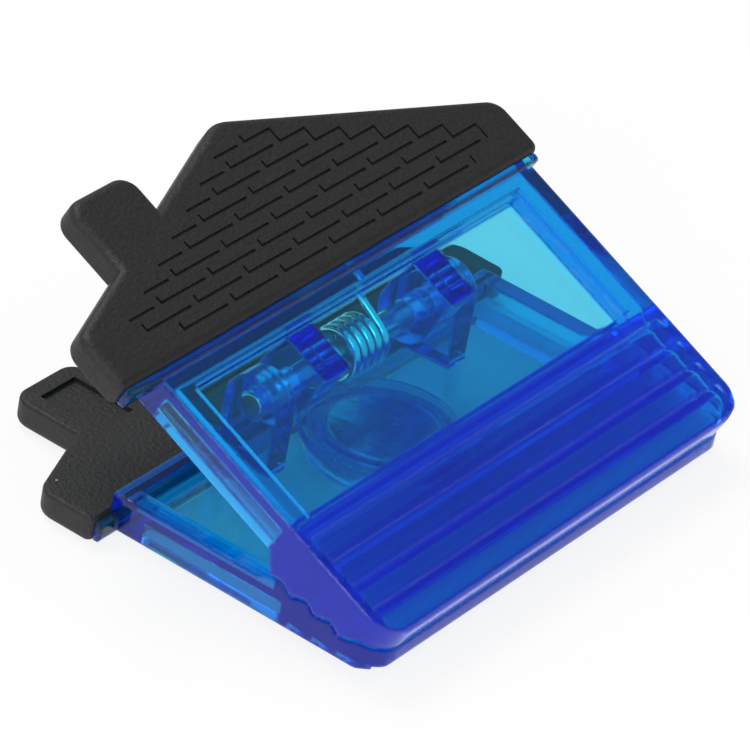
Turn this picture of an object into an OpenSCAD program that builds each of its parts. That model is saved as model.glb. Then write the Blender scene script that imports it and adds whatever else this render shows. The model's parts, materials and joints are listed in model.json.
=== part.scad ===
// House-shaped magnetic memo clip: two clear jaws, two gabled grips, pin, spring and magnet.
// X runs along the hinge pin, Y from the jaws to the roof, Z up from the magnet's outer face.

/* [Walls] */
// width of the house walls
house_w = 62; // [50:1:80]
// length of the walls from the jaw edge to the eave
wall_l = 32.5; // [32:0.5:36]
// height of the side walls above the outer face
wall_h = 4.2; // [3.8:0.1:5]
// thickness of the side walls
side_t = 2.4; // [1.6:0.1:3]
// thickness of the moulding around the window
floor_t = 2.5; // [2.2:0.1:3]
// how far the front jaw reaches past its datum line
front_reach = 2.1; // [1.6:0.1:2.3]
// how far the back jaw reaches past its datum line
back_reach = 0.3; // [0.2:0.1:0.8]
// radius of the rounded corners at the jaws
corner_r = 4; // [2:0.1:6]
// radius along the outer edge of the jaws
nose_r = 0.9; // [0.6:0.1:1.1]
// radius along the outer side edges of the jaws
edge_r = 0.4; // [0.2:0.1:0.8]
// angle between the two halves when the jaws are shut
spread = 24.5; // [20:0.5:28]

/* [Window] */
// frame to the left of the window
frame_left = 3.1; // [2.6:0.1:6]
// frame to the right of the window
frame_right = 5.2; // [2.6:0.1:6]
// frame between the window and the eave
frame_top = 3.1; // [2.6:0.1:4]
// distance of the window's lower edge from the jaw edge
sill = 12.3; // [11.8:0.1:15]
// depth of the window recess
recess = 1.3; // [0.8:0.1:1.5]

/* [Siding and teeth] */
// number of steps in the siding
boards = 4; // [3:1:4]
// height of one siding board
board_h = 3; // [2.6:0.1:3]
// depth of the step between boards
board_step = 0.45; // [0.2:0.05:0.6]
// height of the parting line at the datum line
parting = 2; // [1.9:0.1:2.3]
// number of gripping teeth
teeth = 4; // [2:1:4]
// pitch of the teeth
tooth_pitch = 3.1; // [2.8:0.05:3.1]
// height of the teeth
tooth_h = 0.9; // [0.5:0.05:1]
// clearance left between the two rows of teeth
bite_gap = 0.2; // [0.15:0.05:0.4]

/* [Roof grips] */
// width across the eaves
roof_w = 69.5; // [66:0.5:76]
// height of the gable above the eave line
gable_h = 19.5; // [17:0.5:22]
// pitch of the roof slopes
roof_pitch = 20; // [18:0.5:22]
// thickness of a grip
grip_t = 3.1; // [2.9:0.1:3.6]
// how far a grip stands proud of the wall's outer face
grip_raise = 1; // [0.8:0.1:1.2]
// sideways place of the front grip
front_shift = -1.8; // [-2.5:0.1:2.5]
// sideways place of the back grip
back_shift = 1; // [-2.5:0.1:2.5]
// width of the chimney
chimney_w = 9.9; // [8:0.1:12]
// distance of the chimney's middle from the middle of the roof
chimney_x = 19.4; // [18:0.1:22]
// length of one shingle
shingle_l = 8.07; // [7.6:0.01:8.4]
// height of one row of shingles
shingle_h = 1.72; // [1.6:0.02:1.8]
// depth of the shingle grooves
groove_d = 0.3; // [0.2:0.05:0.5]
// width of the shingle grooves
groove_w = 0.3; // [0.2:0.05:0.4]

/* [Hinge] */
// pin centre from the jaw edge
pin_y = 28.3; // [27.8:0.1:28.6]
// pin centre above the back jaw's outer face
pin_z = 9.7; // [9.5:0.1:10.1]
// pin diameter
pin_d = 2.8; // [2.4:0.1:3]
// overall length of the pin
pin_l = 34; // [32:0.5:38]
// sideways middle of the hinge
hinge_x = 0.8; // [-1:0.1:2]
// radius of the rounded ends of the ears and lugs
ear_r = 3.3; // [2.9:0.1:3.4]
// thickness of the back jaw's ears
ear_t = 3.2; // [2.6:0.1:3.6]
// thickness of the front jaw's lugs
lug_t = 4; // [3:0.1:4.2]
// space between an ear and the lug beside it
lug_gap = 1.2; // [0.5:0.1:1.5]
// clearance between pin and moulding
pin_fit = 0.05; // [0.02:0.01:0.08]

/* [Spring] */
// wire diameter of the spring
wire_d = 0.95; // [0.8:0.05:1]
// outside diameter of the coil
coil_d = 6.3; // [6:0.1:6.5]
// number of whole turns
turns = 4; // [3:1:6]
// pitch of the turns
coil_pitch = 1.3; // [1.2:0.05:1.4]

/* [Magnet] */
// diameter of the magnet
magnet_d = 12; // [10:0.5:12.5]
// thickness of the magnet
magnet_t = 3; // [2.5:0.1:3.2]
// middle of the magnet from the jaw edge
magnet_y = 22.3; // [21.9:0.1:22.6]
// outside diameter of the magnet cup at its foot
cup_d = 17.6; // [16.5:0.1:17.8]
// height of the magnet cup above the outer face
cup_h = 4; // [3.6:0.1:4.2]

/* [Hidden] */
half_w = house_w / 2;
eps = 0.01;
$fn = 48;
// the front half is the back half turned over, about a line where the outer faces would meet
front_y = 0.3;
front_z = 6.1;
// slope of the plane on which the two jaws meet
bite_slope = tan(spread / 2);
// the pin in the front jaw's own frame
pin_dy = pin_y - front_y;
pin_dz = pin_z - front_z;
front_pin_y = pin_dy * cos(spread) + pin_dz * sin(spread);
front_pin_z = pin_dy * sin(spread) - pin_dz * cos(spread);
// how far the meeting line is drawn past the datum line
run_out = 3;
// where the lowest siding board ends
first_step = 1.7;

// depth of a jaw's gripping block
block_l = sill + 0.9;
// first tooth from the jaw edge
tooth_start = 2.4;
// plain border at the ends of the siding boards
border = 1.3;
pocket_top = wall_l - 1.9;
// the sunken panel of the chimney
panel_side = 2.2;
panel_low = 2.6;
panel_high = 2.4;
panel_d = 0.5;
eave_h = gable_h - roof_w / 2 * tan(roof_pitch);
tongue_t = 1.5;
tongue_in = 1.5;
tongue_z = grip_t / 2 - grip_raise - tongue_t / 2 + 0.2;
lip_l = 0.9;
// the lip stops short of the eaves' ends
lip_in_left = 0.4;
lip_in_right = 1;
// the lowest groove above the eave, and the sideways place of the middle shingle
shingle_y = 2;
shingle_x = 0.85;
shingle_rows = 9;
// half shingles to each side of the middle in the lowest row
low_reach = 6;
tick_h = 0.7;
// space between the end of one shingle's groove and the next tick
tick_gap = 1;
// how far the first short groove of a row begins before its half shingle
lead_in = 0.85;
lip_raise = 0.4;
// both legs of the spring end on the low walls along the eave
coil_r = (coil_d - wire_d) / 2;
coil_x = -3.2;
lap = 0.2;
// a hair thinner than the coil, so that its lapped start lies inside the coil's end
leg_d = wire_d - 0.03;
leg_over = wall_h + wire_d / 2 + 0.04;
front_leg_end = [
    (wall_l - 0.5 - front_pin_y) * cos(spread) + (leg_over - front_pin_z) * sin(spread),
    (wall_l - 0.5 - front_pin_y) * sin(spread) - (leg_over - front_pin_z) * cos(spread)
];
back_leg_end = [wall_l - 0.5 - pin_y, leg_over - pin_z];
ear_x = pin_l / 2 - ear_t / 2;
lug_x = pin_l / 2 - ear_t - lug_gap - lug_t / 2;
blue = [0.09, 0.32, 0.92, 0.55];
black = [0.06, 0.06, 0.065];
steel = [0.72, 0.73, 0.75];
magnet_grey = [0.55, 0.56, 0.58];

function unit(v) = v / norm(v);

// one tooth is a long flank falling towards the roof and a short one rising again
function tooth_points(i) = [
    [tooth_start + i * tooth_pitch, tooth_h / 2],
    [tooth_start + (i + 0.65) * tooth_pitch, -tooth_h / 2]
];

// height of the meeting line at y, for a parting height p
function meet(p, y) = p + y * bite_slope;

// the toothed meeting line from just outside the jaw edge to the back of the gripping block
function bite_line(p, gap) = [
    [-run_out, meet(p, -run_out) - gap / 2],
    for (i = [0 : teeth - 1], q = tooth_points(i))
        if (q[0] < block_l - 0.3) [q[0], meet(p, q[0]) + q[1] - gap / 2],
    [block_l, meet(p, block_l) - gap / 2]
];

// the same line seen from the front jaw: its teeth fill the back jaw's gullets
function front_point(q) = [
    (q[0] - front_y) * cos(spread) + (q[1] - front_z) * sin(spread),
    (q[0] - front_y) * sin(spread) - (q[1] - front_z) * cos(spread)
];

function mirrored_bite(p, gap) = [
    for (q = bite_line(p, -gap)) front_point(q)
];

// polygon with rounded convex corners: tangent points joined, a circle at each corner
function corner_cut(pts, i, r) = let (
    n = len(pts),
    p = pts[i],
    a = unit(pts[(i + n - 1) % n] - p),
    b = unit(pts[(i + 1) % n] - p),
    half = acos(a * b) / 2
) [p + a * r / tan(half), p + b * r / tan(half), p + unit(a + b) * r / sin(half)];

module rounded(pts, radii) {
    cuts = [for (i = [0 : len(pts) - 1]) corner_cut(pts, i, max(radii[i], eps))];
    polygon([
        for (i = [0 : len(pts) - 1])
            each radii[i] > 0 ? [cuts[i][0], cuts[i][1]] : [pts[i]]
    ]);
    for (i = [0 : len(pts) - 1])
        if (radii[i] > 0)
            translate(cuts[i][2]) circle(r = radii[i]);
}

// side view of a jaw: rounded nose at the jaw edge, teeth inside, low wall behind
module jaw_side(line, reach) {
    difference() {
        polygon([
            [line[0][0], 0],
            [wall_l, 0],
            [wall_l, wall_h],
            [line[len(line) - 1][0] + 1.5, wall_h],
            for (i = [len(line) - 1 : -1 : 0]) line[i]
        ]);
        translate([-reach, 0])
            difference() {
                translate([-run_out, -eps]) square([run_out + nose_r, nose_r + eps]);
                translate([nose_r, nose_r]) circle(r = nose_r);
            }
    }
}

module along_x(width) {
    rotate([90, 0, 90])
        translate([0, 0, -width / 2])
            linear_extrude(width) children();
}

// end view of a jaw: the long outer edges are rounded
module wall_end() {
    rounded(
        [[-half_w, 0], [half_w, 0], [half_w, wall_h * 2], [-half_w, wall_h * 2]],
        [edge_r, edge_r, 0, 0]
    );
}

module wall_plan(reach) {
    rounded(
        [[-half_w, -reach], [half_w, -reach], [half_w, wall_l], [-half_w, wall_l]],
        [corner_r, corner_r, 0, 0]
    );
}

module window_plan() {
    translate([-half_w + frame_left, sill])
        square([house_w - frame_left - frame_right, wall_l - frame_top - sill]);
}

// walls of one jaw: gripping block, frame, pocket behind it, and the thin window pane
module walls(line, reach) {
    difference() {
        intersection() {
            along_x(house_w) jaw_side(line, reach);
            linear_extrude(wall_h * 4, center = true) wall_plan(reach);
            translate([0, wall_l, 0]) rotate([90, 0, 0]) linear_extrude(wall_l + run_out) wall_end();
        }
        for (i = [0 : boards - 1])
            translate([0, first_step + (i - 1) * board_h, 0])
                along_x(house_w - 2 * border)
                    polygon([[eps, -1], [eps, 0], [board_h, board_step], [board_h, -1]]);
        translate([-half_w + side_t, block_l, floor_t])
            cube([house_w - 2 * side_t, pocket_top - block_l, wall_h * 3]);
        translate([0, 0, -eps]) linear_extrude(recess + eps) window_plan();
    }
}

// a bar from the floor up to a rounded end about the pin
module hinge_bar(x, y, z, thick, r) {
    translate([x - thick / 2, 0, 0]) {
        translate([0, y - r, recess + eps]) cube([thick, 2 * r, z - recess]);
        translate([0, y, z]) rotate([0, 90, 0]) cylinder(r = r, h = thick);
    }
}

module pin_bore(y, z) {
    translate([-half_w, y, z]) rotate([0, 90, 0]) cylinder(r = pin_d / 2 + pin_fit, h = house_w);
}

// outline of a roof: eave, slopes and chimney, symmetric but for the chimney
module gable_plan() {
    rounded(
        [[-roof_w / 2, 0], [roof_w / 2, 0], [roof_w / 2, eave_h], [0, gable_h], [-roof_w / 2, eave_h]],
        [1, 1, 2.4, 4, 2.4]
    );
}

module chimney_plan() {
    translate([-chimney_x - chimney_w / 2, eave_h])
        rounded(
            [[0, 0], [chimney_w, 0], [chimney_w, gable_h - eave_h - 0.4], [0, gable_h - eave_h - 0.4]],
            [0, 0, 2.2, 2.2]
        );
}

// the plate of the jaw that runs on under the grip
module tongue(shift) {
    k = roof_w / 2 - tongue_in;
    translate([shift, wall_l, tongue_z])
        linear_extrude(tongue_t)
            polygon([
                [-k, -lip_l / 2], [k, -lip_l / 2], [k, eave_h - tongue_in],
                [0, eave_h - tongue_in + k * tan(roof_pitch)], [-k, eave_h - tongue_in]
            ]);
}

// the rounded lip of the jaw along the foot of the roof
module eave_lip(shift) {
    width = roof_w - lip_in_left - lip_in_right;
    translate([shift + (lip_in_left - lip_in_right) / 2, 0, 0])
        along_x(width) {
            translate([wall_l - lip_l, lip_l / 2 - lip_raise])
                square([lip_l, tongue_z + tongue_t - lip_l / 2 + lip_raise]);
            translate([wall_l - lip_l / 2, lip_l / 2 - lip_raise]) circle(d = lip_l);
            translate([wall_l - lip_l / 2, -lip_raise]) square([lip_l / 2, lip_l]);
        }
}

// one groove of the shingles, with its lower left corner at x, y
module groove(x, y, length, height) {
    translate([x, y, -eps]) cube([length, height, groove_d + eps]);
}

// half-bonded shingles: each is a groove along its lower edge with a tick up at its left end.
// The last tick of a row goes all the way up, so the field steps down like a stair to the right.
module shingles() {
    half_l = shingle_l / 2;
    for (row = [0 : shingle_rows - 1]) {
        y = shingle_y + row * shingle_h;
        reach = min(shingle_rows - row, row + low_reach);
        for (step = [-reach : reach]) {
            x = shingle_x + step * half_l;
            to = step + 2 > reach ? shingle_x + reach * half_l : x + shingle_l - tick_gap;
            tall = step + row == shingle_rows - 1;
            if ((step + row) % 2 == 0) {
                groove(x, y, max(to - x, groove_w), groove_w);
                groove(x, y, groove_w, (tall && row < shingle_rows - 1 ? shingle_h : tick_h) + groove_w);
            } else if (step == -reach) {
                groove(x - lead_in, y, half_l - tick_gap + lead_in, groove_w);
            }
        }
    }
}

// one grip, outer face down, with a slot for the tongue open at the eave
module grip(shift) {
    difference() {
        translate([shift, wall_l, -grip_raise])
            difference() {
                linear_extrude(grip_t) {
                    gable_plan();
                    chimney_plan();
                }
                shingles();
                chimney_panel();
            }
        tongue(shift);
    }
}

// sunken panel on the inner face of the chimney
module chimney_panel() {
    w = chimney_w - 2 * panel_side;
    h = gable_h - eave_h - panel_low - panel_high;
    translate([-chimney_x - w / 2, eave_h + panel_low, grip_t - panel_d])
        cube([w, h, panel_d + eps]);
}

module half_jaw(line, reach, shift) {
    walls(line, reach);
    tongue(shift);
    eave_lip(shift);
}

// turns the half over onto the other one
module turned_over() {
    translate([0, front_y, front_z]) rotate([spread, 0, 0]) mirror([0, 0, 1]) children();
}

// puts the origin at the middle of the magnet's outer face
module placed() {
    translate([0, -magnet_y, grip_raise]) children();
}

module front_jaw() {
    line = mirrored_bite(parting, bite_gap);
    color(blue) placed() turned_over()
        difference() {
            union() {
                half_jaw(line, front_reach, front_shift);
                for (side = [-1, 1])
                    hinge_bar(hinge_x + side * lug_x, front_pin_y, front_pin_z, lug_t, ear_r);
            }
            pin_bore(front_pin_y, front_pin_z);
        }
}

module back_jaw() {
    line = bite_line(parting, bite_gap);
    color(blue) placed()
        difference() {
            union() {
                half_jaw(line, back_reach, back_shift);
                for (side = [-1, 1])
                    hinge_bar(hinge_x + side * ear_x, pin_y, pin_z, ear_t, ear_r);
                cup();
            }
            pin_bore(pin_y, pin_z);
            translate([0, magnet_y, -grip_raise - eps])
                cylinder(d = magnet_d + 0.1, h = magnet_t + 0.1 + eps);
        }
}

// round cup that holds the magnet from the outside, with a stepped rim inside
module cup() {
    translate([0, magnet_y, -grip_raise]) cylinder(d = cup_d - 2, h = grip_raise + recess + eps);
    translate([0, magnet_y, recess]) cylinder(d = cup_d, h = cup_h - recess - 0.8);
    translate([0, magnet_y, recess]) cylinder(d = cup_d - 2.2, h = cup_h - recess);
}

module front_roof() {
    color(black) placed() turned_over() grip(front_shift);
}

module back_roof() {
    color(black) placed() grip(back_shift);
}

module hinge_pin() {
    color(steel) placed()
        translate([hinge_x - pin_l / 2, pin_y, pin_z])
            rotate([0, 90, 0]) cylinder(d = pin_d, h = pin_l);
}

// an arc of the wire about the pin, counted from +Y towards +Z
module wire_arc(from, sweep) {
    rotate([90, 0, 90])
        rotate([0, 0, from])
            rotate_extrude(angle = sweep) translate([coil_r, 0]) circle(d = wire_d);
}

// half a turn, tilted so that its ends lie half a pitch apart
module half_turn(from, side) {
    rotate([0, 0, side * asin(coil_pitch / 4 / coil_r)]) wire_arc(from, 180);
}

// a straight leg from its tangent point on the coil to its end, both in the YZ plane
module leg(at, end) {
    run = end - coil_r * [cos(at), sin(at)];
    translate([0, coil_r * cos(at), coil_r * sin(at)])
        rotate([atan2(run[1], run[0]) - 90, 0, 0])
            translate([0, 0, -lap]) cylinder(d = leg_d, h = norm(run) + lap);
}

// angle of the point where a line from the end touches the coil, on the jaw side
function tangent(end, side) = atan2(end[1], end[0]) + side * acos(coil_r / norm(end));

module torsion_spring() {
    up = tangent(front_leg_end, 1);
    down = tangent(back_leg_end, -1);
    color(steel) placed()
        translate([hinge_x + coil_x, pin_y, pin_z]) {
            leg(down, back_leg_end);
            wire_arc(180, 180 + down);
            for (i = [0 : turns - 1]) {
                translate([(i + 0.25) * coil_pitch, 0, 0]) half_turn(0, -1);
                translate([(i + 0.75) * coil_pitch, 0, 0]) half_turn(180, 1);
            }
            translate([turns * coil_pitch, 0, 0]) {
                wire_arc(up, 180 - up);
                leg(up, front_leg_end);
            }
        }
}

module magnet() {
    color(magnet_grey) placed()
        translate([0, magnet_y, -grip_raise]) cylinder(d = magnet_d, h = magnet_t);
}

front_jaw();
back_jaw();
front_roof();
back_roof();
hinge_pin();
torsion_spring();
magnet();
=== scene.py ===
# %% [markdown]
# # A house-shaped magnetic memo clip
# The real clip is two clear blue plastic plates, each the wall of a small house, with a black
# roof pushed on as a finger grip. A steel pin and a coil spring join them, and a round magnet
# sits in the back plate. The CAD model gives the sizes and the places of all of it. This
# lesson gives each part its rounded edges and its finish, and lights it in a small studio.

# %% Load the frame
import json
import math

import bmesh
import bpy
from mathutils import Matrix, Quaternion, Vector


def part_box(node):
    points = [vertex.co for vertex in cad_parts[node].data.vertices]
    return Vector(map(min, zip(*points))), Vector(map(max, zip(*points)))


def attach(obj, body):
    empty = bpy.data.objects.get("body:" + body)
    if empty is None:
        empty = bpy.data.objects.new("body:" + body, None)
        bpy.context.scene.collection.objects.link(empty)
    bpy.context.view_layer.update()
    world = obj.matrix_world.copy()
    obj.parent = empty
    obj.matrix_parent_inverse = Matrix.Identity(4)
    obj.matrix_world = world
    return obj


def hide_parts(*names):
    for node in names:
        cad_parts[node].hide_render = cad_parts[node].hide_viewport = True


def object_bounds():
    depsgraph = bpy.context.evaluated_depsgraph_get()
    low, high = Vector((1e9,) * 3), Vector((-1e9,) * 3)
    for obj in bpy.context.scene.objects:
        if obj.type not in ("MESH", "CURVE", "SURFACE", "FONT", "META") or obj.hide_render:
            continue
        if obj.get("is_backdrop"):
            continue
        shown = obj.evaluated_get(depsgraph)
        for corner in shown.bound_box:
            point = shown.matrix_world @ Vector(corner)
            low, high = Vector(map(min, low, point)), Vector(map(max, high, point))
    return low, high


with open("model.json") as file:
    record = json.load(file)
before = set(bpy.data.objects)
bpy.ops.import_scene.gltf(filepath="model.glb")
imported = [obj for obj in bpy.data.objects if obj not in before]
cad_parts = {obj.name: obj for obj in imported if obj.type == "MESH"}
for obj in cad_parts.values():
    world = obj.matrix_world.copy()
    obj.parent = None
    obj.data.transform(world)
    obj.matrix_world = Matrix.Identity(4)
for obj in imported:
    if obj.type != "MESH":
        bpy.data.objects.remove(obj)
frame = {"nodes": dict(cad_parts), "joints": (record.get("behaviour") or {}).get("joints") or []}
cad_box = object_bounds()
cad = frame["nodes"]
MM = 0.001
print("CAD nodes:", ", ".join(sorted(cad)))

# %% [markdown]
# ## The camera
# The clip lies on its back half, and the camera looks down at its front from the jaws' left.
# A long lens from half a metre away keeps the perspective weak, as in a catalogue picture.
# The camera could be aimed with a constraint, but a fixed turn is easier to repeat: it looks
# from the eye to the aim point, and then rolls about its own axis.

# %% Camera
EYE = Vector((-0.428922, -0.253894, 0.332999))
AIM = Vector((-0.003562, -0.000085, 0.0125))
ROLL = math.radians(10.97)
LENS, SENSOR = 284.65, 36

camera_data = bpy.data.cameras.new("camera")
camera_data.lens = LENS
camera_data.sensor_width = SENSOR
camera_data.clip_start = 0.01
camera = bpy.data.objects.new("camera", camera_data)
camera.location = EYE
camera.rotation_mode = "QUATERNION"
level_turn = (AIM - EYE).to_track_quat("-Z", "Y")
camera.rotation_quaternion = level_turn @ Quaternion((0, 0, 1), ROLL)
bpy.context.scene.collection.objects.link(camera)
bpy.context.scene.camera = camera
bpy.context.scene.view_settings.view_transform = "Standard"
print("camera distance, m:", round((AIM - EYE).length, 3))

# %% [markdown]
# ## Tools for taking over a CAD solid
# A CAD node is made of loose triangles, so nothing can be rounded on it directly. A copy is
# welded first, and the triangles of each flat face are joined again. After that every hard
# edge of the real moulding is one clean edge, and a Bevel can give it its small radius. The
# node itself stays as it is, hidden, and the rounded copy stands for it.

# %% Welded copy
WELD = 0.015 * MM
FLAT = math.radians(0.5)
SHARP = math.radians(25)
SHADED_SHARP = math.radians(50)


def welded(node_name):
    mesh = bmesh.new()
    mesh.from_mesh(cad[node_name].data)
    bmesh.ops.remove_doubles(mesh, verts=mesh.verts, dist=WELD)
    bmesh.ops.dissolve_limit(mesh, angle_limit=FLAT, verts=mesh.verts, edges=mesh.edges)
    print(node_name, "welded:", len(mesh.verts), "vertices,", len(mesh.faces), "faces")
    return mesh


def is_sharp(edge):
    return len(edge.link_faces) == 2 and edge.calc_face_angle() > SHARP


# %% Finished piece
def finished(mesh, piece_name, body, material, replaces=None):
    data = bpy.data.meshes.new(piece_name)
    mesh.to_mesh(data)
    mesh.free()
    if "custom_normal" in data.attributes:
        data.attributes.remove(data.attributes["custom_normal"])
    data.shade_smooth()
    data.set_sharp_from_angle(angle=SHADED_SHARP)
    data.materials.append(material)
    piece = bpy.data.objects.new(piece_name, data)
    bpy.context.scene.collection.objects.link(piece)
    flat_faces = piece.modifiers.new("keep_flat_faces_flat", "WEIGHTED_NORMAL")
    flat_faces.weight = 100
    flat_faces.keep_sharp = True
    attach(piece, body)
    if replaces:
        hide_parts(replaces)
    print(piece_name, "rides on", body)
    return piece

# %% [markdown]
# ## The clear jaws
# Each jaw is one injection moulding: a plate with a sunken window, walls round it, clapboard
# steps, teeth at the bite, and ears or lugs for the pin. On a clear part the edges are most of
# what is seen, because each small radius bends the light and draws a bright or dark line. So
# every hard edge of the welded copy gets a radius of a tenth of a millimetre or so. Edges that
# the solid has rounded already, at the eave, are left out, since their facets are shorter than
# the radius.

# %% Rounded jaws
JAW_RADIUS = 0.13 * MM
SHORTEST = 0.3 * MM


def rounded_jaw(node_name):
    mesh = welded(node_name)
    hard = [e for e in mesh.edges if is_sharp(e)]
    crowded = {v for e in hard if e.calc_length() < SHORTEST for v in e.verts}
    free = [e for e in hard if not crowded.intersection(e.verts)]
    bmesh.ops.bevel(mesh, geom=free, offset=JAW_RADIUS, offset_type="OFFSET", affect="EDGES",
                    segments=2, profile=0.5, material=-1, clamp_overlap=False)
    print(node_name, "hard edges:", len(hard), "rounded:", len(free))
    return mesh

# %% [markdown]
# ## The roof grips
# A grip is a thick black slab with a soft outer rim that the fingers press on, a tighter
# inner rim, and shingle grooves cut into its face. Bevelling the copied solid fails here: the
# flat face is split by many joining edges that run from groove to rim, and a wide bevel would
# drag them over each other. So the slab is made again from its own outline, as one face that
# is extruded and bevelled, and then the grooves are taken from the copy and sewn in: the flat
# face is opened, and triangle_fill closes it round every groove.

# %% Outline and pockets of a grip
RIM_RADIUS = {1: 0.95 * MM, -1: 0.4 * MM}
TALL_WALL = 0.8 * MM
POCKET_DEPTH = 1 * MM
SHALLOWEST = 0.05 * MM
SAME_LEVEL = 0.01 * MM
UPRIGHT = 0.05
FACING = 0.99


def span(face, across):
    levels = [v.co.dot(across) for v in face.verts]
    return min(levels), max(levels)


def outline(mesh, out, top):
    """Edges where a wall taller than any groove meets the flat face at the top level."""
    rim = []
    for edge in mesh.edges:
        walls = [f for f in edge.link_faces if abs(f.normal.dot(out)) < UPRIGHT]
        low, high = span(walls[0], out) if len(walls) == 1 else (0, 0)
        level = min(v.co.dot(out) for v in edge.verts)
        if high - low > TALL_WALL and abs(level - top) < SAME_LEVEL:
            rim.append(edge)
    return rim


def pockets(mesh, side):
    """Floors and walls of the grooves or panels sunk into one flat face of the slab."""
    top = max(v.co.dot(side) for v in mesh.verts)
    floors = [f for f in mesh.faces if f.normal.dot(side) > FACING
              and SHALLOWEST < top - f.verts[0].co.dot(side) < POCKET_DEPTH]
    beside = {n for f in floors for e in f.edges for n in e.link_faces}
    walls = {n for n in beside if abs(n.normal.dot(side)) < UPRIGHT}
    return floors + list(walls)


def flat_face(mesh, side):
    facing = [f for f in mesh.faces if f.normal.dot(side) > FACING]
    return max(facing, key=lambda f: f.calc_area())


def only(mesh, kept, context):
    kept = set(kept)
    everything = mesh.faces if context == "FACES" else mesh.edges
    bmesh.ops.delete(mesh, geom=[g for g in everything if g not in kept], context=context)


# %% Slab with soft rims
def slab(node_name, out):
    mesh = welded(node_name)
    top = max(v.co.dot(out) for v in mesh.verts)
    thick = top - min(v.co.dot(out) for v in mesh.verts)
    only(mesh, outline(mesh, out, top), "EDGES_FACES")
    bmesh.ops.delete(mesh, geom=[v for v in mesh.verts if not v.link_edges], context="VERTS")
    bmesh.ops.edgeloop_fill(mesh, edges=mesh.edges)
    raised = bmesh.ops.extrude_face_region(mesh, geom=mesh.faces[:], use_keep_orig=True)
    moved = [g for g in raised["geom"] if isinstance(g, bmesh.types.BMVert)]
    bmesh.ops.translate(mesh, verts=moved, vec=-out * thick)
    bmesh.ops.recalc_face_normals(mesh, faces=mesh.faces)
    for side, radius in RIM_RADIUS.items():
        bmesh.ops.bevel(mesh, geom=flat_face(mesh, out * side).edges[:], offset=radius,
                        offset_type="OFFSET", affect="EDGES", segments=5, profile=0.5,
                        material=-1, clamp_overlap=False)
    print(node_name, "slab", round(thick / MM, 2), "mm thick,", len(mesh.faces), "faces")
    return mesh


# %% Grooves sewn into the slab
def sew_pockets(mesh, node_name, side):
    bmesh.ops.delete(mesh, geom=[flat_face(mesh, side)], context="FACES_ONLY")
    cut = welded(node_name)
    only(cut, pockets(cut, side), "FACES")
    carried = bpy.data.meshes.new("pockets")
    cut.to_mesh(carried)
    cut.free()
    mesh.from_mesh(carried)
    bpy.data.meshes.remove(carried)
    lips = [e for e in mesh.edges if e.is_boundary]
    bmesh.ops.triangle_fill(mesh, edges=lips, normal=side, use_beauty=True, use_dissolve=False)
    still_open = sum(e.is_boundary for e in mesh.edges)
    print(node_name, "edges sewn:", len(lips), "still open:", still_open)


def soft_grip(node_name, opens_up):
    solid = welded(node_name)
    widest = max(solid.faces, key=lambda f: f.calc_area()).normal.copy()
    solid.free()
    out = widest if (widest.z > 0) == opens_up else -widest
    mesh = slab(node_name, out)
    for side in (out, -out):
        sew_pockets(mesh, node_name, side)
    bmesh.ops.recalc_face_normals(mesh, faces=mesh.faces)
    return mesh

# %% [markdown]
# ## The hinge pin
# The pin is a cut length of ground steel rod. Its ends are chamfered so that it starts in the
# bore. A circle is extruded along the hinge and its two rims are bevelled, and the CAD node's
# box gives its place, its length and its diameter.

# %% Pin mesh
PIN_SEGMENTS, PIN_CHAMFER = 64, 0.25 * MM


def along_x(mesh):
    bmesh.ops.rotate(mesh, verts=mesh.verts, cent=(0, 0, 0),
                     matrix=Quaternion((0, 1, 0), math.radians(90)).to_matrix())


def rod(radius, length, segments, chamfer, rings=1):
    mesh = bmesh.new()
    bmesh.ops.create_circle(mesh, cap_ends=True, segments=segments, radius=radius)
    bmesh.ops.translate(mesh, verts=mesh.verts, vec=(0, 0, -length / 2))
    raised = bmesh.ops.extrude_face_region(mesh, geom=mesh.faces[:], use_keep_orig=True)
    top = [g for g in raised["geom"] if isinstance(g, bmesh.types.BMVert)]
    bmesh.ops.translate(mesh, verts=top, vec=(0, 0, length))
    bmesh.ops.recalc_face_normals(mesh, faces=mesh.faces)
    rims = [e for e in mesh.edges if is_sharp(e)]
    bmesh.ops.bevel(mesh, geom=rims, offset=chamfer, offset_type="OFFSET", affect="EDGES",
                    segments=rings, profile=0.5, material=-1)
    return mesh


def pin_mesh():
    low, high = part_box("hinge_pin")
    size = Vector(high) - Vector(low)
    mesh = rod(size.z / 2, size.x, PIN_SEGMENTS, PIN_CHAMFER)
    along_x(mesh)
    bmesh.ops.translate(mesh, verts=mesh.verts, vec=(Vector(low) + Vector(high)) / 2)
    print("pin, mm:", round(size.z / MM, 2), "across,", round(size.x / MM, 1), "long")
    return mesh

# %% [markdown]
# ## The torsion spring
# The spring is one wire: a leg on the back half, four close turns about the pin and a leg on
# the front half. When the clip opens, the front leg turns about the pin with the front half,
# and the coil winds up a little. One rigid piece would leave a leg behind, so the spring is
# two pieces. The coil and the back leg ride on the back half, and the front leg rides on the
# front half with a length of arc that lies inside the last turn, and slides out of it as the
# leg turns. A spin with a sideways step for each turn draws the helix, and the straight legs
# are the end circles extruded.

# %% Spring measures
PIN_PLACE = Vector(frame["joints"][0]["pos_m"])
WIRE_R = 0.475 * MM
COIL_R = 2.675 * MM
COIL_START, COIL_END = -3.2 * MM, 2.0 * MM
BACK_LEG_END = Vector((0, 3.7, -4.985)) * MM
FRONT_LEG_END = Vector((0, 3.074, 5.379)) * MM
TURNS = 4
STEP = math.radians(11.25)
OVERLAP = math.radians(70)
WIRE_SEGMENTS, WIRE_END = 16, 0.1 * MM


def touch_angle(end, side):
    return math.atan2(end.z, end.y) + side * math.acos(COIL_R / end.length)


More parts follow.
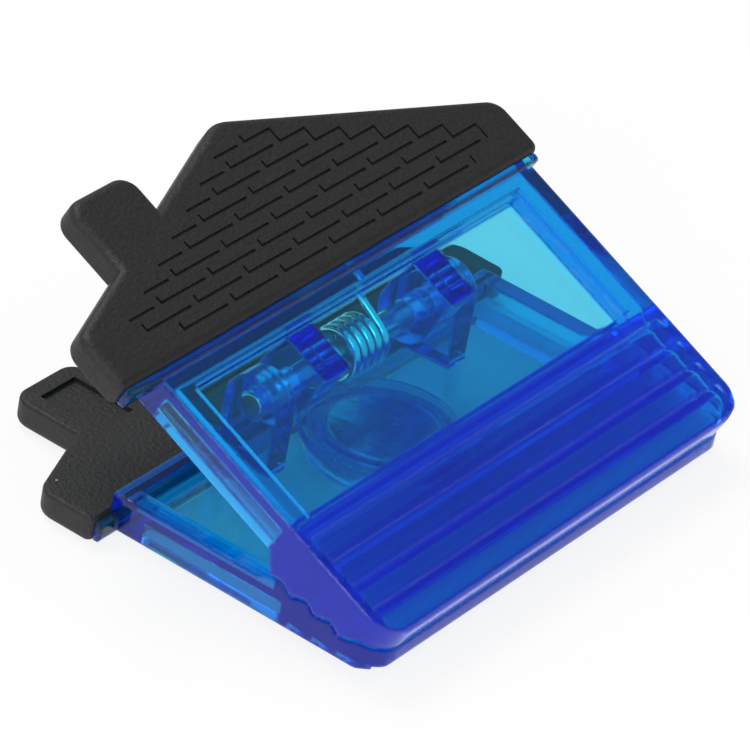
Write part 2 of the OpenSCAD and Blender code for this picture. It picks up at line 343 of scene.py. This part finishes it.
BACK_TOUCH = touch_angle(BACK_LEG_END, -1)
FRONT_TOUCH = touch_angle(FRONT_LEG_END, 1)
WOUND = math.tau * (TURNS + 1) + BACK_TOUCH - FRONT_TOUCH
PITCH = (COIL_END - COIL_START) / WOUND
print("wire is wound through", round(math.degrees(WOUND)), "degrees")


# %% One wire: a straight leg and an arc
def about_x(angle):
    return Quaternion((1, 0, 0), angle).to_matrix()


def wire(at, x, leg_end, sweep, radius):
    mesh = bmesh.new()
    ring = bmesh.ops.create_circle(mesh, cap_ends=False, segments=WIRE_SEGMENTS,
                                   radius=radius)["verts"]
    bmesh.ops.translate(mesh, verts=ring, vec=(x, COIL_R, 0))
    bmesh.ops.rotate(mesh, verts=ring, cent=(0, 0, 0), matrix=about_x(at))
    loop = mesh.edges[:]
    leg = bmesh.ops.extrude_edge_only(mesh, edges=loop)["geom"]
    touch = about_x(at) @ Vector((0, COIL_R, 0))
    leg_verts = [g for g in leg if isinstance(g, bmesh.types.BMVert)]
    bmesh.ops.translate(mesh, verts=leg_verts, vec=leg_end - touch)
    steps = round(abs(sweep) / STEP)
    bmesh.ops.spin(mesh, geom=ring + loop, cent=(0, 0, 0), axis=(1, 0, 0), angle=sweep,
                   steps=steps, dvec=(-sweep * PITCH / steps, 0, 0), use_merge=False,
                   use_duplicate=False)
    bmesh.ops.holes_fill(mesh, edges=[e for e in mesh.edges if e.is_boundary], sides=0)
    bmesh.ops.recalc_face_normals(mesh, faces=mesh.faces)
    rims = [e for e in mesh.edges if is_sharp(e)]
    bmesh.ops.bevel(mesh, geom=rims, offset=WIRE_END, offset_type="OFFSET", affect="EDGES",
                    segments=2, profile=0.5, material=-1)
    bmesh.ops.translate(mesh, verts=mesh.verts, vec=PIN_PLACE)
    print("wire piece:", len(mesh.faces), "faces")
    return mesh

# %% [markdown]
# ## The magnet
# A nickel-plated disc sits in the round cup of the back jaw. Its rim is tumbled soft. It is
# the same extruded and bevelled circle as the pin, with three rings of faces in the bevel.

# %% Magnet mesh
MAGNET_SEGMENTS, MAGNET_EDGE = 96, 0.3 * MM


def magnet_mesh():
    low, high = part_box("magnet")
    size = Vector(high) - Vector(low)
    mesh = rod(size.x / 2, size.z, MAGNET_SEGMENTS, MAGNET_EDGE, rings=3)
    bmesh.ops.translate(mesh, verts=mesh.verts, vec=(Vector(low) + Vector(high)) / 2)
    print("magnet, mm:", round(size.x / MM, 1), "across,", round(size.z / MM, 1), "thick")
    return mesh

# %% [markdown]
# ## Clear blue plastic
# The jaws are clear styrene with a blue dye. Thin walls look cyan and thick ones royal blue,
# because the dye takes red away first, then green. A tinted surface can't do that, so the
# colour is in the Volume socket: Absorption takes out light by the millimetre, and a thin
# Scatter gives the slight haze that cheap clear plastic has. The surface is clean glass with
# the plastic's index, with a faint waviness from cooling and the round witness marks that the
# ejector pins leave, both as bump. A moulding's edges are also a little softer than the mesh,
# so a Bevel node rounds the shading, which is cheaper than more faces.

# %% Node helpers
def new_material(name):
    material = bpy.data.materials.new(name)
    material.use_nodes = True
    tree = material.node_tree
    tree.nodes.clear()
    out = tree.nodes.new("ShaderNodeOutputMaterial")
    return material, tree, out


def node(tree, kind, inputs=None, **settings):
    made = tree.nodes.new("ShaderNode" + kind)
    for key, value in settings.items():
        setattr(made, key, value)
    for key, value in (inputs or {}).items():
        if isinstance(value, bpy.types.NodeSocket):
            tree.links.new(value, made.inputs[key])
        else:
            made.inputs[key].default_value = value
    return made


def grey_noise(tree, place, scale, detail=2.0):
    noise = node(tree, "TexNoise", {"Vector": place, "Scale": scale, "Detail": detail})
    return noise.outputs["Fac"]


# %% Clear blue
TINT = (0.08, 0.878, 0.999, 1)
DENSITY = 1600
HAZE = (0.1, 0.35, 1.0, 1)
HAZE_DENSITY = 60
HAZE_FORWARD = 0.3
EJECTOR_MARKS = [Vector(mark) * MM for mark in (
    (27.9, 4.817, 19.321), (27.9, -0.661, 16.825), (-27.9, 5.949, 15.221))]
EJECTOR_R = 0.9 * MM
EJECTOR_LINE = 0.12 * MM
SOFT_EDGE = 0.6 * MM


def ring_mark(tree, place, centre, radius, width):
    away = node(tree, "VectorMath", {0: place, 1: centre}, operation="DISTANCE").outputs["Value"]
    return node(tree, "Math", {0: away, 1: radius, 2: width}, operation="COMPARE").outputs[0]


def clear_blue(marks):
    material, tree, out = new_material("clear_blue_plastic")
    place = node(tree, "TexCoord").outputs["Object"]
    height = grey_noise(tree, place, 120)
    for centre in marks:
        mark = ring_mark(tree, place, centre, EJECTOR_R, EJECTOR_LINE)
        height = node(tree, "Math", {0: mark, 1: height}, operation="ADD").outputs[0]
    rounded = node(tree, "Bevel", {"Radius": SOFT_EDGE}, samples=6)
    bump = node(tree, "Bump", {"Height": height, "Strength": 0.1, "Distance": 0.02 * MM,
                               "Normal": rounded.outputs[0]})
    shader = node(tree, "BsdfPrincipled", {
        "Base Color": (0.97, 0.98, 1.0, 1), "Roughness": 0.02, "IOR": 1.49,
        "Transmission Weight": 1, "Normal": bump.outputs[0]})
    tree.links.new(shader.outputs[0], out.inputs["Surface"])
    dye = node(tree, "VolumeAbsorption", {"Color": TINT, "Density": DENSITY})
    haze = node(tree, "VolumeScatter", {
        "Color": HAZE, "Density": HAZE_DENSITY, "Anisotropy": HAZE_FORWARD})
    both = node(tree, "AddShader", {0: dye.outputs[0], 1: haze.outputs[0]})
    tree.links.new(both.outputs[0], out.inputs["Volume"])
    print("clear blue: red falls by", DENSITY * (1 - TINT[0]) * MM, "per mm,", len(marks), "marks")
    return material

# %% [markdown]
# ## Black grip plastic
# The roofs are black plastic with a fine spark-eroded texture, which looks like very fine
# sand under a raking light, and a few specks of pale dust. Noise at half a millimetre, with
# finer octaves on it, gives the sand as bump, and a broader one varies the gloss. The dust
# is a Voronoi pattern: only the very middle of a cell counts, and only in the few cells whose
# random value is high.

# %% Black grip
DUST_SIZE, DUST_SHARE = 0.035, 0.8
DUST = (0.35, 0.35, 0.34, 1)
BLACK = 0.009, 0.026


def black_grip():
    material, tree, out = new_material("black_grip_plastic")
    place = node(tree, "TexCoord").outputs["Object"]
    sand = grey_noise(tree, place, 2200, 4)
    patches = grey_noise(tree, place, 220)
    rough = node(tree, "MapRange", {"Value": patches, "To Min": 0.5, "To Max": 0.62}).outputs[0]
    cells = node(tree, "TexVoronoi", {"Vector": place, "Scale": 260})
    middle = node(tree, "Math", {0: cells.outputs["Distance"], 1: DUST_SIZE}, operation="LESS_THAN")
    pick = node(tree, "SeparateColor", {"Color": cells.outputs["Color"]}).outputs[0]
    chosen = node(tree, "Math", {0: pick, 1: DUST_SHARE}, operation="GREATER_THAN").outputs[0]
    dust = node(tree, "Math", {0: middle.outputs[0], 1: chosen}, operation="MULTIPLY").outputs[0]
    shade = node(tree, "MapRange", {
        "Value": sand, "To Min": BLACK[0], "To Max": BLACK[1]}).outputs[0]
    colour = node(tree, "Mix", {0: dust, 6: shade, 7: DUST}, data_type="RGBA").outputs[2]
    bump = node(tree, "Bump", {"Height": sand, "Strength": 1.0, "Distance": 0.12 * MM})
    shader = node(tree, "BsdfPrincipled", {
        "Base Color": colour, "Roughness": rough, "Normal": bump.outputs[0]})
    tree.links.new(shader.outputs[0], out.inputs["Surface"])
    return material

# %% [markdown]
# ## Steel wire, steel pin and nickel
# All three are bare metal, so their colour is their reflection and the detail is in how rough
# it is. Drawn wire and rolled rod have fine lines along their length, and a noise stretched
# along the hinge gives both. The magnet's plating is brighter and gently uneven, so its
# reflection breaks up.

# %% Metals
def metal(name, colour, roughness, stretch, scale, scratch, depth=0.02 * MM):
    material, tree, out = new_material(name)
    place = node(tree, "TexCoord").outputs["Object"]
    lined = node(tree, "Mapping", {"Vector": place, "Scale": stretch}).outputs[0]
    lines = grey_noise(tree, lined, scale, 4)
    rough = node(tree, "MapRange", {
        "Value": lines, "To Min": roughness * 0.7, "To Max": roughness * 1.4}).outputs[0]
    tarnish = grey_noise(tree, place, 500)
    dark = tuple(c * 0.75 for c in colour)
    tint = node(tree, "Mix", {0: tarnish, 6: (*dark, 1), 7: (*colour, 1)},
                data_type="RGBA").outputs[2]
    bump = node(tree, "Bump", {"Height": lines, "Strength": scratch, "Distance": depth})
    shader = node(tree, "BsdfPrincipled", {
        "Base Color": tint, "Metallic": 1, "Roughness": rough, "Normal": bump.outputs[0]})
    tree.links.new(shader.outputs[0], out.inputs["Surface"])
    return material


blue = clear_blue(EJECTOR_MARKS)
black = black_grip()
wire_steel = metal("drawn_steel_wire", (0.8, 0.82, 0.84), 0.18, (0.2, 1, 1), 2500, 0.08)
pin_steel = metal("ground_steel_pin", (0.62, 0.65, 0.67), 0.2, (0.05, 1, 1), 6000, 0.25)
nickel = metal("nickel_plate", (0.85, 0.86, 0.86), 0.25, (1, 0.4, 1), 450, 1.0, 0.2 * MM)
print("finishes:", ", ".join(m.name for m in (blue, black, wire_steel, pin_steel, nickel)))

# %% [markdown]
# ## Putting the clip together
# Each piece now gets its finish, the body that it moves with and the node that it stands for.

# %% Pieces
for half in ("front", "back"):
    body, jaw, roof = half + "_half", half + "_jaw", half + "_roof"
    finished(rounded_jaw(jaw), jaw + "_moulding", body, blue, jaw)
    finished(soft_grip(roof, half == "front"), roof + "_grip", body, black, roof)
finished(pin_mesh(), "ground_pin", "back_half", pin_steel, "hinge_pin")
coil = wire(BACK_TOUCH, COIL_START, BACK_LEG_END, -WOUND, WIRE_R)
finished(coil, "coil_and_back_leg", "back_half", wire_steel, "torsion_spring")
front_leg = wire(FRONT_TOUCH, COIL_END, FRONT_LEG_END, OVERLAP, WIRE_R * 0.98)
finished(front_leg, "front_leg", "front_half", wire_steel)
finished(magnet_mesh(), "disc_magnet", "back_half", nickel, "magnet")

# %% [markdown]
# ## The studio
# A clear part shows what is round it, so the studio matters as much as the plastic. The floor
# and the world are white to the camera, and much dimmer as plain light, so that a colour
# renders about as it is written. Each kind of ray gets its own level from a Light Path node.
# Through the plastic the world stays white, but the floor is mostly its plain matt self, so
# the clip still shades the floor that is seen through it. One soft lamp behind the clip
# lights the roof, and one at its left draws the edges.

# %% Light by ray
RAYS = {"glossy": "Is Glossy Ray", "through": "Is Transmission Ray", "camera": "Is Camera Ray"}


def by_ray(tree, levels):
    path = node(tree, "LightPath")
    level = levels["diffuse"]
    for kind, output in RAYS.items():
        level = node(tree, "Mix", {0: path.outputs[output], 2: level, 3: levels[kind]},
                     data_type="FLOAT").outputs[0]
    return level


# %% Floor
GROUND = dict(diffuse=0.0, glossy=0.85, through=0.15, camera=0.85)
FLOOR_HALF = 3
FLOOR_DROP = 0.03 * MM

floor_mesh = bpy.data.meshes.new("floor")
grid = bmesh.new()
bmesh.ops.create_grid(grid, x_segments=1, y_segments=1, size=FLOOR_HALF,
                      matrix=Matrix.Translation((0, 0, -FLOOR_DROP)))
grid.to_mesh(floor_mesh)
grid.free()
floor = bpy.data.objects.new("floor", floor_mesh)
bpy.context.scene.collection.objects.link(floor)
floor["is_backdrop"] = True
material, tree, out = new_material("floor_white")
matt = node(tree, "BsdfDiffuse", {"Color": (0.9, 0.9, 0.9, 1)})
glow = node(tree, "Emission")
share = node(tree, "MixShader", {
    0: by_ray(tree, GROUND), 1: matt.outputs[0], 2: glow.outputs[0]})
tree.links.new(share.outputs[0], out.inputs["Surface"])
floor_mesh.materials.append(material)
print("floor, m:", 2 * FLOOR_HALF, "across,", FLOOR_DROP / MM, "mm below the clip")

# %% World
SKY = dict(diffuse=0.6, glossy=0.22, through=1.0, camera=1.0)

world = bpy.data.worlds.new("studio")
bpy.context.scene.world = world
world.use_nodes = True
tree = world.node_tree
tree.nodes.clear()
out = tree.nodes.new("ShaderNodeOutputWorld")
sky = node(tree, "Background", {"Color": (1, 1, 1, 1), "Strength": by_ray(tree, SKY)})
tree.links.new(sky.outputs[0], out.inputs["Surface"])
print("world levels:", SKY)

# %% Lamps
LIT_POINT = Vector((0, 0, 0.01))


def soft_lamp(name, place, size, watts):
    data = bpy.data.lights.new(name, "AREA")
    data.size = size
    data.energy = watts
    lamp = bpy.data.objects.new(name, data)
    lamp.location = place
    lamp.rotation_mode = "QUATERNION"
    lamp.rotation_quaternion = (LIT_POINT - Vector(place)).to_track_quat("-Z", "Y")
    bpy.context.scene.collection.objects.link(lamp)
    print(name, "lamp:", watts, "W")


soft_lamp("key", (0.1, 0.5, 0.8), 0.4, 4)
soft_lamp("side", (-0.6, -0.15, 0.35), 0.3, 1.5)
cycles = bpy.context.scene.cycles
cycles.max_bounces = 32
cycles.transmission_bounces = 32
cycles.glossy_bounces = 16
cycles.volume_bounces = 4

# %% [markdown]
# The dressed clip must be the size of the CAD model. Both boxes are printed.

# %% Sizes
dressed_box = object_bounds()
for name, (low, high) in {"cad": cad_box, "dressed": dressed_box}.items():
    print(name, "box, mm:", [round((b - a) / MM, 2) for a, b in zip(low, high)])
